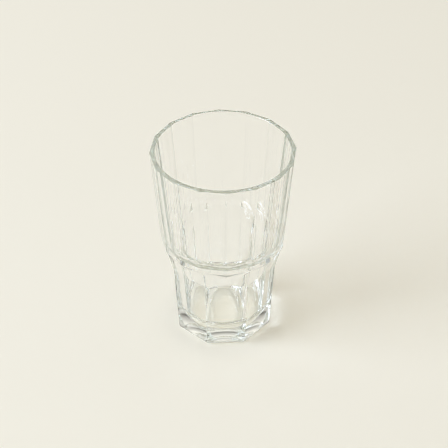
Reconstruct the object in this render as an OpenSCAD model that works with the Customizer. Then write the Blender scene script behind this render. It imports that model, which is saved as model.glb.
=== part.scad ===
// Juice glass: a pressed stacking tumbler, a many-sided bowl on a foot of flat panels.
// It is one piece of glass. The origin is the middle of the foot, on the table, and +Z is up.

/* [Bowl] */
// Height of the glass, from the table to the rim
glass_h = 114; // [100:1:150]
// Rim diameter across the corners of the facets
rim_d = 76; // [72:0.5:90]
// Glass at the middle of a facet, at the rim
rim_wall = 2.1; // [1.6:0.1:3.5]
// Rounding of the lip, outside and inside
lip_r = 0.8; // [0.3:0.1:1.5]
// Bowl diameter across the corners of the facets, at the shoulder
bowl_d = 67; // [64:0.5:72]
// Glass at the middle of a facet, at the top of the cove inside
bowl_wall = 3.4; // [2.5:0.1:4.5]

/* [Shoulder] */
// Height at which the bowl's wall turns in
shoulder_z = 57.5; // [54:0.5:70]
// Rounding of the shoulder's edge
shoulder_r = 2.5; // [0.5:0.1:4]
// Height over which the shoulder slopes in under the bowl
shoulder_h = 6.5; // [5:0.1:8]
// How far the shoulder draws in over that height
shoulder_draw = 5; // [4:0.1:6]
// Step between the bowl's corners and the neck's corners, at the shoulder
neck_step = 0.5; // [0.3:0.1:1.5]

/* [Foot] */
// Number of flat panels around the foot, an even number
panel_count = 8; // [6:2:12]
// Foot diameter across the corners of the panels, at the table
foot_d = 54.2; // [50:0.2:58]
// Foot diameter across the corners, at the top of the flat panels
panel_d = 59.4; // [58:0.2:62]
// Height of the flat panels, above which the neck flares to the shoulder
panel_h = 44.5; // [40:0.5:48]
// Rounding between a panel and the flare above it
flare_r = 12; // [4:0.5:16]
// Rounding of the bottom edge
foot_edge_r = 3.5; // [1:0.1:4]

/* [Inside] */
// Glass between the well's floor and the table
floor_t = 8; // [5:0.5:12]
// Diameter of the well's flat floor
floor_d = 30.4; // [26:0.2:34]
// Rounding of the flat floor's edge
floor_edge_r = 1.2; // [0.5:0.1:2]
// Well diameter at the top of the heel, the slope around the floor
heel_d = 43; // [40:0.5:45]
// Height by which the heel climbs to the well's wall
heel_h = 6.5; // [4:0.5:10]
// Rounding between the heel and the well's wall
heel_r = 5.5; // [2:0.5:8]
// Well diameter at the ledge
well_d = 50; // [46:0.2:52]
// Height of the ledge's inner edge
ledge_z = 57.5; // [54:0.5:60]
// Height by which the ledge climbs to the cove
ledge_h = 2.7; // [2:0.1:5]
// Rounding of the ledge's inner edge
ledge_edge_r = 1.7; // [0.5:0.1:3]
// Rounding where the ledge meets the cove
ledge_root_r = 5; // [1:0.5:7]
// Height of the cove, where the bowl's wall draws in above the ledge
cove_h = 4.6; // [4:0.1:8]
// How far the wall draws in over the cove
cove_draw = 1.1; // [0.6:0.1:1.6]
// Rounding where the cove runs into the bowl's wall
cove_r = 21; // [5:1:25]

/* [Underside] */
// Diameter of the hollow under the foot
punt_d = 38; // [30:1:42]
// Depth of that hollow in the middle
punt_depth = 1.6; // [0.5:0.1:2.5]

/* [Hidden] */
$fn = 64;

// Two facets of the bowl stand over each panel of the foot
facet_count = 2 * panel_count;
// Share of the rim's glass that the lip's rounding may take
lip_share = 0.4;
lip = min(lip_r, rim_wall * lip_share);
// Overrun of the cuts past the faces that they open
overrun = 4;
// Steps along each rounding
arc_steps = 6;

// Distance from the axis to a flat side, for a diameter across the corners
function flat_of(d, sides) = d / 2 * cos(180 / sides);

rim_flat = flat_of(rim_d, facet_count);
bowl_flat = flat_of(bowl_d, facet_count);
rim_inner_r = rim_flat - rim_wall;
heel_top_z = floor_t + heel_h;
ledge_top_z = ledge_z + ledge_h;
// The bowl's inner wall is straight from the cove to the rim
cove_top_z = ledge_top_z + cove_h;
bowl_flat_at_cove = bowl_flat + (rim_flat - bowl_flat) * (cove_top_z - shoulder_z) / (glass_h - shoulder_z);
bowl_inner_r = bowl_flat_at_cove - bowl_wall;

foot_flat = flat_of(foot_d, panel_count);
panel_flat = flat_of(panel_d, panel_count);
neck_flat = flat_of(bowl_d - 2 * neck_step, panel_count);

// The hollow under the foot is a shallow cap of a sphere
punt_sphere_r = (pow(punt_d / 2, 2) + pow(punt_depth, 2)) / (2 * punt_depth);

// Rounding of an outline's corner p between its neighbours a and b
function unit(v) = v / norm(v);
function left_of(v) = [-v.y, v.x];
function turned(v, angle) = v * cos(angle) + left_of(v) * sin(angle);
function turn_at(a, p, b) = atan2(cross(p - a, b - p), (p - a) * (b - p));
function arc(a, p, b, r) =
    let (
        turn = turn_at(a, p, b),
        start = p - unit(p - a) * r * tan(abs(turn) / 2),
        centre = start + left_of(unit(p - a)) * r * sign(turn)
    )
    [for (k = [0 : arc_steps]) centre + turned(start - centre, turn * k / arc_steps)];

// The points of an outline whose corners are listed as [x, y, radius], with an arc at each radius
function rounded(corners) =
    let (points = [for (c = corners) [c.x, c.y]])
    [
        for (i = [0 : len(corners) - 1])
            each corners[i].z > 0
                ? arc(points[i - 1], points[i], points[i + 1], corners[i].z)
                : [points[i]]
    ];

// A solid with flat sides: the common part of one slab for each pair of opposite sides
module sided(sides, first_angle, profile) {
    outline = concat(profile, [for (i = [len(profile) - 1 : -1 : 0]) [-profile[i].x, profile[i].y]]);
    intersection_for (i = [0 : sides / 2 - 1])
        rotate([90, 0, first_angle + (i + 1 / 2) * 360 / sides])
            linear_extrude(height = rim_d + 2 * overrun, center = true)
                polygon(outline);
}

// The bowl, many-sided outside, with the shoulder sloping in under it
module bowl_outside() {
    sided(facet_count, 0, rounded([
        [bowl_flat - shoulder_draw, shoulder_z - shoulder_h, 0],
        [bowl_flat, shoulder_z, shoulder_r],
        [rim_flat, glass_h, lip],
        [rim_flat - rim_wall, glass_h, 0]
    ]));
}

// The foot: flat panels that lean out, then a neck that flares to the shoulder
module foot_outside() {
    sided(panel_count, 180 / panel_count, rounded([
        [foot_flat / 2, 0, 0],
        [foot_flat, 0, foot_edge_r],
        [panel_flat, panel_h, flare_r],
        [neck_flat, shoulder_z, 0]
    ]));
}

// The round inside: floor, heel, well, ledge, cove and bowl, open past the rim
module inside() {
    rotate_extrude()
        polygon(rounded([
            [0, floor_t, 0],
            [floor_d / 2, floor_t, floor_edge_r],
            [heel_d / 2, heel_top_z, heel_r],
            [well_d / 2, ledge_z, ledge_edge_r],
            [bowl_inner_r - cove_draw, ledge_top_z, ledge_root_r],
            [bowl_inner_r, cove_top_z, cove_r],
            [rim_inner_r, glass_h, lip],
            [rim_flat, glass_h, 0],
            [rim_flat, glass_h + overrun, 0],
            [0, glass_h + overrun, 0]
        ]));
}

// The shallow hollow that leaves the glass standing on a ring
module punt() {
    translate([0, 0, punt_depth - punt_sphere_r])
        sphere(punt_sphere_r);
}

module tumbler() {
    color([0.80, 0.86, 0.82, 0.35])
        difference() {
            union() {
                bowl_outside();
                foot_outside();
            }
            inside();
            punt();
        }
}

tumbler();
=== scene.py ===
import math

import bmesh
import bpy
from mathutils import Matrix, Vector


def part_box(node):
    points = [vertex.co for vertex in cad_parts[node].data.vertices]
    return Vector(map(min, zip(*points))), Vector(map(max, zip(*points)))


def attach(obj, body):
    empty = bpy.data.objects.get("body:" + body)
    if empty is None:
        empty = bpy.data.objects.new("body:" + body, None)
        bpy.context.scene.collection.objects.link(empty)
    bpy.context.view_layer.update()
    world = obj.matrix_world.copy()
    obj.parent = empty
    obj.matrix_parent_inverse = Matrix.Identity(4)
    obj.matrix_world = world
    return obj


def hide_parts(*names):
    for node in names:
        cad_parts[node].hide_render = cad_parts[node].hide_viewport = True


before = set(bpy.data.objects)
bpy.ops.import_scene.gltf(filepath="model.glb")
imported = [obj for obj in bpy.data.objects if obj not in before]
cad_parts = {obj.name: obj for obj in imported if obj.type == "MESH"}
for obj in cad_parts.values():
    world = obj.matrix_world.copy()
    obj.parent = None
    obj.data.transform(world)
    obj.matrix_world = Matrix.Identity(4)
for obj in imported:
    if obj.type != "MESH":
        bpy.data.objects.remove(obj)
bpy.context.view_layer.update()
print("frame loaded:", sorted(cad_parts))


# the glass itself

tumbler = {  # millimetres at the drawn height, scaled to the frame below
    "height": 114.0,
    "rimAcross": 76.0,       # over the facet corners
    "rimGlass": 2.1,
    "lipRound": 0.8,
    "bowlAcross": 67.0,      # over the facet corners, at the shoulder
    "bowlGlass": 3.4,        # at the top of the cove inside
    "facets": 16,
    "shoulderHeight": 57.5,
    "shoulderRound": 2.5,
    "shoulderDrop": 6.5,     # height over which the shoulder slopes in by shoulderDraw
    "shoulderDraw": 5.0,
    "neckStep": 0.5,         # from the bowl's corners in to the neck's, at the shoulder
    "panels": 8,
    "footAcross": 54.2,      # over the panel corners, at the table
    "panelAcross": 59.4,     # the same at the top of the flat panels
    "panelHeight": 44.5,
    "flareRound": 12.0,
    "footRound": 3.5,
    "floorGlass": 8.0,
    "floorAcross": 30.4,     # the flat floor of the well
    "floorRound": 1.2,
    "heelAcross": 43.0,      # top of the slope around that floor
    "heelClimb": 6.5,
    "heelRound": 5.5,
    "wellAcross": 50.0,
    "ledgeHeight": 57.5,
    "ledgeClimb": 2.7,
    "ledgeRound": 1.7,
    "ledgeRootRound": 5.0,
    "coveClimb": 4.6,        # height over which the wall draws in by coveDraw, above the ledge
    "coveDraw": 1.1,
    "coveRound": 21.0,
    "puntAcross": 38.0,      # the hollow under the foot
    "puntDepth": 1.6,
    "ridgeSharp": 2500.0,    # higher is a crisper ridge between facets
    "cornerSharp": 600.0,    # the same for the corners of the foot
    "shoulderBlend": 0.6,    # fillet where the neck runs into the bowl
    "columns": 256,
    "crowding": 0.92,        # 0 is evenly spaced columns, towards 1 they crowd at the ridges
    "arcSteps": 8,           # along each rounding
    "wallStep": 2.2,         # spacing of the rings on straight walls
    "bendStep": 0.45,        # and round the shoulder
    "bendReach": 3.0,        # how far bendStep runs on below the flare and above the shoulder
    "bendGuard": 0.35,       # from each bend to the ring that keeps the flat beside it flat
    "mergeGap": 0.00002,     # metres
}


def roundCorners(corners, steps):
    # a line of (x, z) points, with an arc at each corner that has a radius
    line = []
    for i, (x, z, radius) in enumerate(corners):
        here = Vector((x, z))
        if radius <= 0:
            line.append(here)
            continue
        before = (here - Vector(corners[i - 1][:2])).normalized()
        after = (Vector(corners[i + 1][:2]) - here).normalized()
        turn = math.atan2(before.x * after.y - before.y * after.x, before.dot(after))
        start = here - before * radius * math.tan(abs(turn) / 2)
        side = math.copysign(1, turn)
        centre = start + Vector((-before.y, before.x)) * radius * side
        arm = start - centre
        for k in range(steps + 1):
            a = turn * k / steps
            line.append(centre + Vector((arm.x * math.cos(a) - arm.y * math.sin(a),
                                         arm.x * math.sin(a) + arm.y * math.cos(a))))
    return line


def reachAt(line, z):
    # how far out a rising line is at height z, or nothing past its ends
    for p, q in zip(line, line[1:]):
        if p.y <= z <= q.y and q.y > p.y:
            return p.x + (q.x - p.x) * (z - p.y) / (q.y - p.y)
    return 0.0


def sideReach(angle, sides, sharp):
    # 1 at the middle of a flat side, more towards its softened corners
    width = 2 * math.pi / sides
    off = abs((angle + width / 2) % width - width / 2)
    return (math.cos(off) ** sharp + math.cos(width - off) ** sharp) ** (-1 / sharp)


def softMax(a, b, blend):
    # the larger of two, with a small fillet where they are close
    share = min(max(0.5 + 0.5 * (a - b) / blend, 0), 1)
    return b + (a - b) * share + blend * share * (1 - share)


def spread(start, end, step, guard=0):
    # even steps from start to end, with one more close to each end if there is a guard
    count = max(1, math.ceil(abs(end - start) / step))
    marks = [start + (end - start) * k / count for k in range(count + 1)]
    if guard and count > 1:
        inward = math.copysign(guard, end - start)
        marks[1:1] = [start + inward]
        marks[-1:-1] = [end - inward]
    return marks


def filledIn(line, step, guard):
    # extra points along the straight runs of a line
    dense = [line[0]]
    for p, q in zip(line, line[1:]):
        run = (q - p).length
        dense += [p.lerp(q, d / run) for d in spread(0, run, step, guard)[1:]]
    return dense


def tumblerRings(s):
    # each ring: height, round radius, flat reach of the bowl, flat reach of the foot
    facetCos = math.cos(math.pi / s["facets"])
    panelCos = math.cos(math.pi / s["panels"])
    rimFlat = s["rimAcross"] / 2 * facetCos
    bowlFlat = s["bowlAcross"] / 2 * facetCos
    footFlat = s["footAcross"] / 2 * panelCos
    panelFlat = s["panelAcross"] / 2 * panelCos
    neckFlat = (s["bowlAcross"] / 2 - s["neckStep"]) * panelCos
    ledgeTop = s["ledgeHeight"] + s["ledgeClimb"]
    coveTop = ledgeTop + s["coveClimb"]
    wallAtCove = bowlFlat - s["bowlGlass"] + (rimFlat - bowlFlat) * (coveTop - s["shoulderHeight"]) / (
        s["height"] - s["shoulderHeight"])
    bowlLine = roundCorners([
        (bowlFlat - s["shoulderDraw"], s["shoulderHeight"] - s["shoulderDrop"], 0),
        (bowlFlat, s["shoulderHeight"], s["shoulderRound"]),
        (rimFlat, s["height"], s["lipRound"]),
        (rimFlat - s["rimGlass"] / 2, s["height"], 0),
    ], s["arcSteps"])
    footLine = roundCorners([
        (footFlat / 2, 0, 0),
        (footFlat, 0, s["footRound"]),
        (panelFlat, s["panelHeight"], s["flareRound"]),
        (neckFlat, s["shoulderHeight"], 0),
    ], s["arcSteps"])
    insideLine = roundCorners([
        (rimFlat - s["rimGlass"] / 2, s["height"], 0),
        (rimFlat - s["rimGlass"], s["height"], s["lipRound"]),
        (wallAtCove, coveTop, s["coveRound"]),
        (wallAtCove - s["coveDraw"], ledgeTop, s["ledgeRootRound"]),
        (s["wellAcross"] / 2, s["ledgeHeight"], s["ledgeRound"]),
        (s["heelAcross"] / 2, s["floorGlass"] + s["heelClimb"], s["heelRound"]),
        (s["floorAcross"] / 2, s["floorGlass"], s["floorRound"]),
        (0, s["floorGlass"], 0),
    ], s["arcSteps"])
    # the first rounding of each outside line ends here
    arcEnd = s["arcSteps"] + 2
    edge = footLine[1:arcEnd]
    lip = bowlLine[arcEnd:]
    rings = []
    # the hollow under the foot, a cap of a large sphere
    sphere = (s["puntAcross"] ** 2 / 4 + s["puntDepth"] ** 2) / (2 * s["puntDepth"])
    puntRound = s["puntAcross"] / 2
    for r in spread(0, puntRound, s["wallStep"], s["bendGuard"]):
        rings.append((s["puntDepth"] - sphere + math.sqrt(sphere * sphere - r * r), r, 0, 0))
    # the flat ring that it stands on, then panels, neck and shoulder together, up to the lip
    rings.append((0, puntRound + s["bendGuard"], 0, 0))
    rings.append((0, 0, 0, edge[0].x - s["bendGuard"]))
    rings += [(p.y, 0, 0, p.x) for p in edge]
    bendLow = s["panelHeight"] - s["bendReach"]
    bendHigh = s["shoulderHeight"] + s["bendReach"]
    heights = spread(edge[-1].y, bendLow, s["wallStep"], s["bendGuard"])[1:]
    heights += spread(bendLow, bendHigh, s["bendStep"])[1:]
    heights += spread(bendHigh, lip[0].y, s["wallStep"], s["bendGuard"])[1:-1]
    for z in heights:
        rings.append((z, 0, reachAt(bowlLine, z), reachAt(footLine, z)))
    rings += [(p.y, 0, p.x, 0) for p in lip[:-1]]
    # down the round inside to the middle of the floor
    rings += [(p.y, p.x, 0, 0) for p in filledIn(insideLine[1:], s["wallStep"], s["bendGuard"])]
    return rings


def buildTumbler(s, height):
    unit = height / s["height"]
    rings = tumblerRings(s)
    bm = bmesh.new()
    rowOf = bm.verts.layers.int.new("row")
    chain = []
    for i, (z, r, bowl, foot) in enumerate(rings):
        v = bm.verts.new((max(r, bowl, foot), 0, z))
        v[rowOf] = i
        chain.append(v)
    edges = [bm.edges.new(pair) for pair in zip(chain, chain[1:])]
    bmesh.ops.spin(bm, geom=chain + edges, cent=(0, 0, 0), axis=(0, 0, 1), angle=2 * math.pi,
                   steps=s["columns"], use_merge=True, use_duplicate=False)
    # crowd the columns towards the facet ridges, then pull each ring out to its flat sides
    facet = 2 * math.pi / s["facets"]
    for v in bm.verts:
        z, r, bowl, foot = rings[v[rowOf]]
        place = math.atan2(v.co.y, v.co.x) / facet
        ridge = round(place)
        t = (place - ridge) * 2  # from -1 to 1 across a ridge
        angle = facet * (ridge + ((1 - s["crowding"]) * t + s["crowding"] * t ** 3) / 2)
        if r == 0 and (bowl or foot):
            onBowl = bowl * sideReach(angle - facet / 2, s["facets"], s["ridgeSharp"])
            onFoot = foot * sideReach(angle + math.pi / 2, s["panels"], s["cornerSharp"])
            r = softMax(onBowl, onFoot, s["shoulderBlend"])
        v.co = Vector((r * math.cos(angle), r * math.sin(angle), z)) * unit
    bmesh.ops.remove_doubles(bm, verts=bm.verts, dist=s["mergeGap"])
    bmesh.ops.recalc_face_normals(bm, faces=bm.faces)
    for f in bm.faces:
        f.smooth = True
    mesh = bpy.data.meshes.new("tumblerGlass")
    bm.to_mesh(mesh)
    bm.free()
    glass = bpy.data.objects.new("tumblerGlass", mesh)
    bpy.context.scene.collection.objects.link(glass)
    print("tumbler:", len(rings), "rings,", len(mesh.polygons), "faces")
    return glass


low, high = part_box("tumbler")
glass = buildTumbler(tumbler, high.z - low.z)
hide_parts("tumbler")
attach(glass, "root")


# clear pressed glass

clearGlass = {
    "ior": 1.52,
    "tint": (0.34, 0.44, 0.31, 1),  # what a long way through the glass keeps
    "tintDensity": 4.2,
    "rippleSize": 0.011,            # metres from swell to swell of the fire-polished skin
    "rippleDepth": 0.000008,
    "rippleDetail": 1.5,
    "scuffTop": 0.0009,             # the foot is scuffed up to this height
    "scuffRough": 0.34,
    "scuffSize": 0.0007,
    "scuffDetail": 3.0,
}


def makeClearGlass(g):
    mat = bpy.data.materials.new("clearPressedGlass")
    mat.use_nodes = True
    nodes, links = mat.node_tree.nodes, mat.node_tree.links
    nodes.clear()
    out = nodes.new("ShaderNodeOutputMaterial")
    skin = nodes.new("ShaderNodeBsdfPrincipled")
    skin.inputs["Base Color"].default_value = (1, 1, 1, 1)
    skin.inputs["IOR"].default_value = g["ior"]
    skin.inputs["Transmission Weight"].default_value = 1.0
    links.new(skin.outputs["BSDF"], out.inputs["Surface"])
    where = nodes.new("ShaderNodeTexCoord")
    # the skin swells very slightly where it cooled in the mould
    ripple = nodes.new("ShaderNodeTexNoise")
    ripple.inputs["Scale"].default_value = 1 / g["rippleSize"]
    ripple.inputs["Detail"].default_value = g["rippleDetail"]
    swell = nodes.new("ShaderNodeBump")
    swell.inputs["Distance"].default_value = g["rippleDepth"]
    links.new(where.outputs["Object"], ripple.inputs["Vector"])
    links.new(ripple.outputs["Fac"], swell.inputs["Height"])
    links.new(swell.outputs["Normal"], skin.inputs["Normal"])
    # the ring that it stands on is scuffed from sliding about
    split = nodes.new("ShaderNodeSeparateXYZ")
    nearTable = nodes.new("ShaderNodeMapRange")
    nearTable.inputs["From Min"].default_value = g["scuffTop"]
    nearTable.inputs["From Max"].default_value = 0.0
    scuff = nodes.new("ShaderNodeTexNoise")
    scuff.inputs["Scale"].default_value = 1 / g["scuffSize"]
    scuff.inputs["Detail"].default_value = g["scuffDetail"]
    patchy = nodes.new("ShaderNodeMath")
    patchy.operation = "MULTIPLY"
    rough = nodes.new("ShaderNodeMath")
    rough.operation = "MULTIPLY"
    rough.inputs[1].default_value = g["scuffRough"]
    links.new(where.outputs["Object"], split.inputs["Vector"])
    links.new(split.outputs["Z"], nearTable.inputs["Value"])
    links.new(where.outputs["Object"], scuff.inputs["Vector"])
    links.new(nearTable.outputs["Result"], patchy.inputs[0])
    links.new(scuff.outputs["Fac"], patchy.inputs[1])
    links.new(patchy.outputs["Value"], rough.inputs[0])
    links.new(rough.outputs["Value"], skin.inputs["Roughness"])
    # the faint grey-green of thick glass
    depth = nodes.new("ShaderNodeVolumeAbsorption")
    depth.inputs["Color"].default_value = g["tint"]
    depth.inputs["Density"].default_value = g["tintDensity"]
    links.new(depth.outputs["Volume"], out.inputs["Volume"])
    print("material:", mat.name)
    return mat


glass.data.materials.append(makeClearGlass(clearGlass))


# floor, light and camera

studio = {
    "floorSize": 6.0,
    "floorGap": 0.0003,      # the glass stands on a few points of its ring, with air between
    "floorColour": (0.847, 0.818, 0.719),
    "floorShadeSteps": [(0.8, 1.0), (1.2, 0.75), (1.6, 0.5)],  # metres out, level: painted shade, darker far from the light
    "floorRough": 0.9,
    "floorShine": 0.1,
    "roomColour": (0.98, 0.945, 0.875),
    "roomSteps": [           # sine of the height above the horizon, level
        (0.0, 0.5), (0.16, 0.38), (0.32, 0.05), (0.45, 0.05), (0.54, 0.48), (0.74, 0.86), (1.0, 1.54),
    ],
    "roomStrength": 0.97,
    "keyPlace": (-2.6, -0.6, 1.5),
    "keySize": 1.9,
    "keyPower": 74.0,
    "keyColour": (0.74, 0.83, 1.0),
    "topPlace": (0.0, 0.0, 2.2),
    "topSize": 2.0,
    "topPower": 0.5,
    "topColour": (1.0, 0.97, 0.92),
    "bounces": 200,          # light runs far along the wall before it leaves the glass
    "pixelBlur": 1.1,        # the photograph is crisp
}


def setRamp(ramp, steps, colour):
    marks = ramp.color_ramp.elements
    while len(marks) < len(steps):
        marks.new(0.5)  # moved to its place below
    for mark, (place, level) in zip(marks, steps):
        mark.position = place
        mark.color = [c * level for c in colour] + [1]


def makeFloor(s):
    bm = bmesh.new()
    bmesh.ops.create_grid(bm, x_segments=1, y_segments=1, size=s["floorSize"] / 2)
    bmesh.ops.translate(bm, verts=bm.verts, vec=(0, 0, -s["floorGap"]))
    mesh = bpy.data.meshes.new("floor")
    bm.to_mesh(mesh)
    bm.free()
    floor = bpy.data.objects.new("floor", mesh)
    bpy.context.scene.collection.objects.link(floor)
    mesh.materials.append(makeFloorSkin(s))


def makeFloorSkin(s):
    mat = bpy.data.materials.new("paleFloor")
    mat.use_nodes = True
    nodes, links = mat.node_tree.nodes, mat.node_tree.links
    skin = nodes["Principled BSDF"]
    skin.inputs["Roughness"].default_value = s["floorRough"]
    skin.inputs["Specular IOR Level"].default_value = s["floorShine"]
    far = s["floorShadeSteps"][-1][0]
    where = nodes.new("ShaderNodeTexCoord")
    out = nodes.new("ShaderNodeVectorMath")
    out.operation = "LENGTH"
    share = nodes.new("ShaderNodeMath")
    share.operation = "DIVIDE"
    share.inputs[1].default_value = far
    # painted shade: the floor's colour darkens with distance from the middle, standing in for light
    # that falls off further out
    ramp = nodes.new("ShaderNodeValToRGB")
    links.new(where.outputs["Object"], out.inputs[0])
    links.new(out.outputs["Value"], share.inputs[0])
    links.new(share.outputs["Value"], ramp.inputs["Fac"])
    links.new(ramp.outputs["Color"], skin.inputs["Base Color"])
    setRamp(ramp, [(r / far, level) for r, level in s["floorShadeSteps"]], s["floorColour"])
    # from below the floor is clear, so that the foot can be looked at
    facing = nodes.new("ShaderNodeNewGeometry")
    clear = nodes.new("ShaderNodeBsdfTransparent")
    blend = nodes.new("ShaderNodeMixShader")
    links.new(facing.outputs["Backfacing"], blend.inputs["Fac"])
    links.new(skin.outputs["BSDF"], blend.inputs[1])
    links.new(clear.outputs["BSDF"], blend.inputs[2])
    links.new(blend.outputs["Shader"], nodes["Material Output"].inputs["Surface"])
    return mat


def makeLamp(name, place, size, power, colour, aim):
    lamp = bpy.data.lights.new(name, "AREA")
    lamp.shape = "SQUARE"
    lamp.size = size
    lamp.energy = power
    lamp.color = colour
    obj = bpy.data.objects.new(name, lamp)
    obj.location = place
    obj.rotation_euler = (Vector(aim) - Vector(place)).to_track_quat("-Z", "Y").to_euler()
    bpy.context.scene.collection.objects.link(obj)


def makeRoom(s):
    # pale walls, a dim band above them and a bright ceiling, for the glass to mirror and bend
    world = bpy.data.worlds.new("softRoom")
    world.use_nodes = True
    nodes, links = world.node_tree.nodes, world.node_tree.links
    where = nodes.new("ShaderNodeTexCoord")
    split = nodes.new("ShaderNodeSeparateXYZ")
    ramp = nodes.new("ShaderNodeValToRGB")
    links.new(where.outputs["Generated"], split.inputs["Vector"])
    links.new(split.outputs["Z"], ramp.inputs["Fac"])
    links.new(ramp.outputs["Color"], nodes["Background"].inputs["Color"])
    setRamp(ramp, s["roomSteps"], s["roomColour"])
    nodes["Background"].inputs["Strength"].default_value = s["roomStrength"]
    bpy.context.scene.world = world


def setLightPaths(s):
    cycles = bpy.context.scene.cycles
    cycles.blur_glossy = 0
    cycles.filter_width = s["pixelBlur"]
    cycles.max_bounces = s["bounces"]
    cycles.transmission_bounces = s["bounces"]
    cycles.glossy_bounces = s["bounces"]


makeFloor(studio)
middle = (0, 0, (high.z - low.z) / 2)
makeLamp("windowLight", studio["keyPlace"], studio["keySize"],
         studio["keyPower"], studio["keyColour"], middle)
makeLamp("topLight", studio["topPlace"], studio["topSize"],
         studio["topPower"], studio["topColour"], middle)
makeRoom(studio)
setLightPaths(studio)
bpy.context.scene.view_settings.view_transform = "Standard"
print("floor and light ready")

photoView = {
    "azimuth": -3.4,
    "elevation": 38.1,
    "distance": 0.682,
    "aside": 0.00046,        # metres that the aim lies to the right of the axis
    "aim": 0.0652,           # and above the table
    "fieldOfView": 20.0,
    "nearest": 0.01,
}


def makeCamera(v):
    a, e = math.radians(v["azimuth"]), math.radians(v["elevation"])
    back = Vector((math.sin(a) * math.cos(e), -math.cos(a) * math.cos(e), math.sin(e)))
    target = Vector((math.cos(a), math.sin(a), 0)) * v["aside"] + Vector((0, 0, v["aim"]))
    data = bpy.data.cameras.new("photoCamera")
    data.angle = math.radians(v["fieldOfView"])
    data.clip_start = v["nearest"]
    camera = bpy.data.objects.new("photoCamera", data)
    camera.location = target + back * v["distance"]
    camera.rotation_euler = (-back).to_track_quat("-Z", "Y").to_euler()
    bpy.context.scene.collection.objects.link(camera)
    bpy.context.scene.camera = camera


makeCamera(photoView)
print("camera ready")
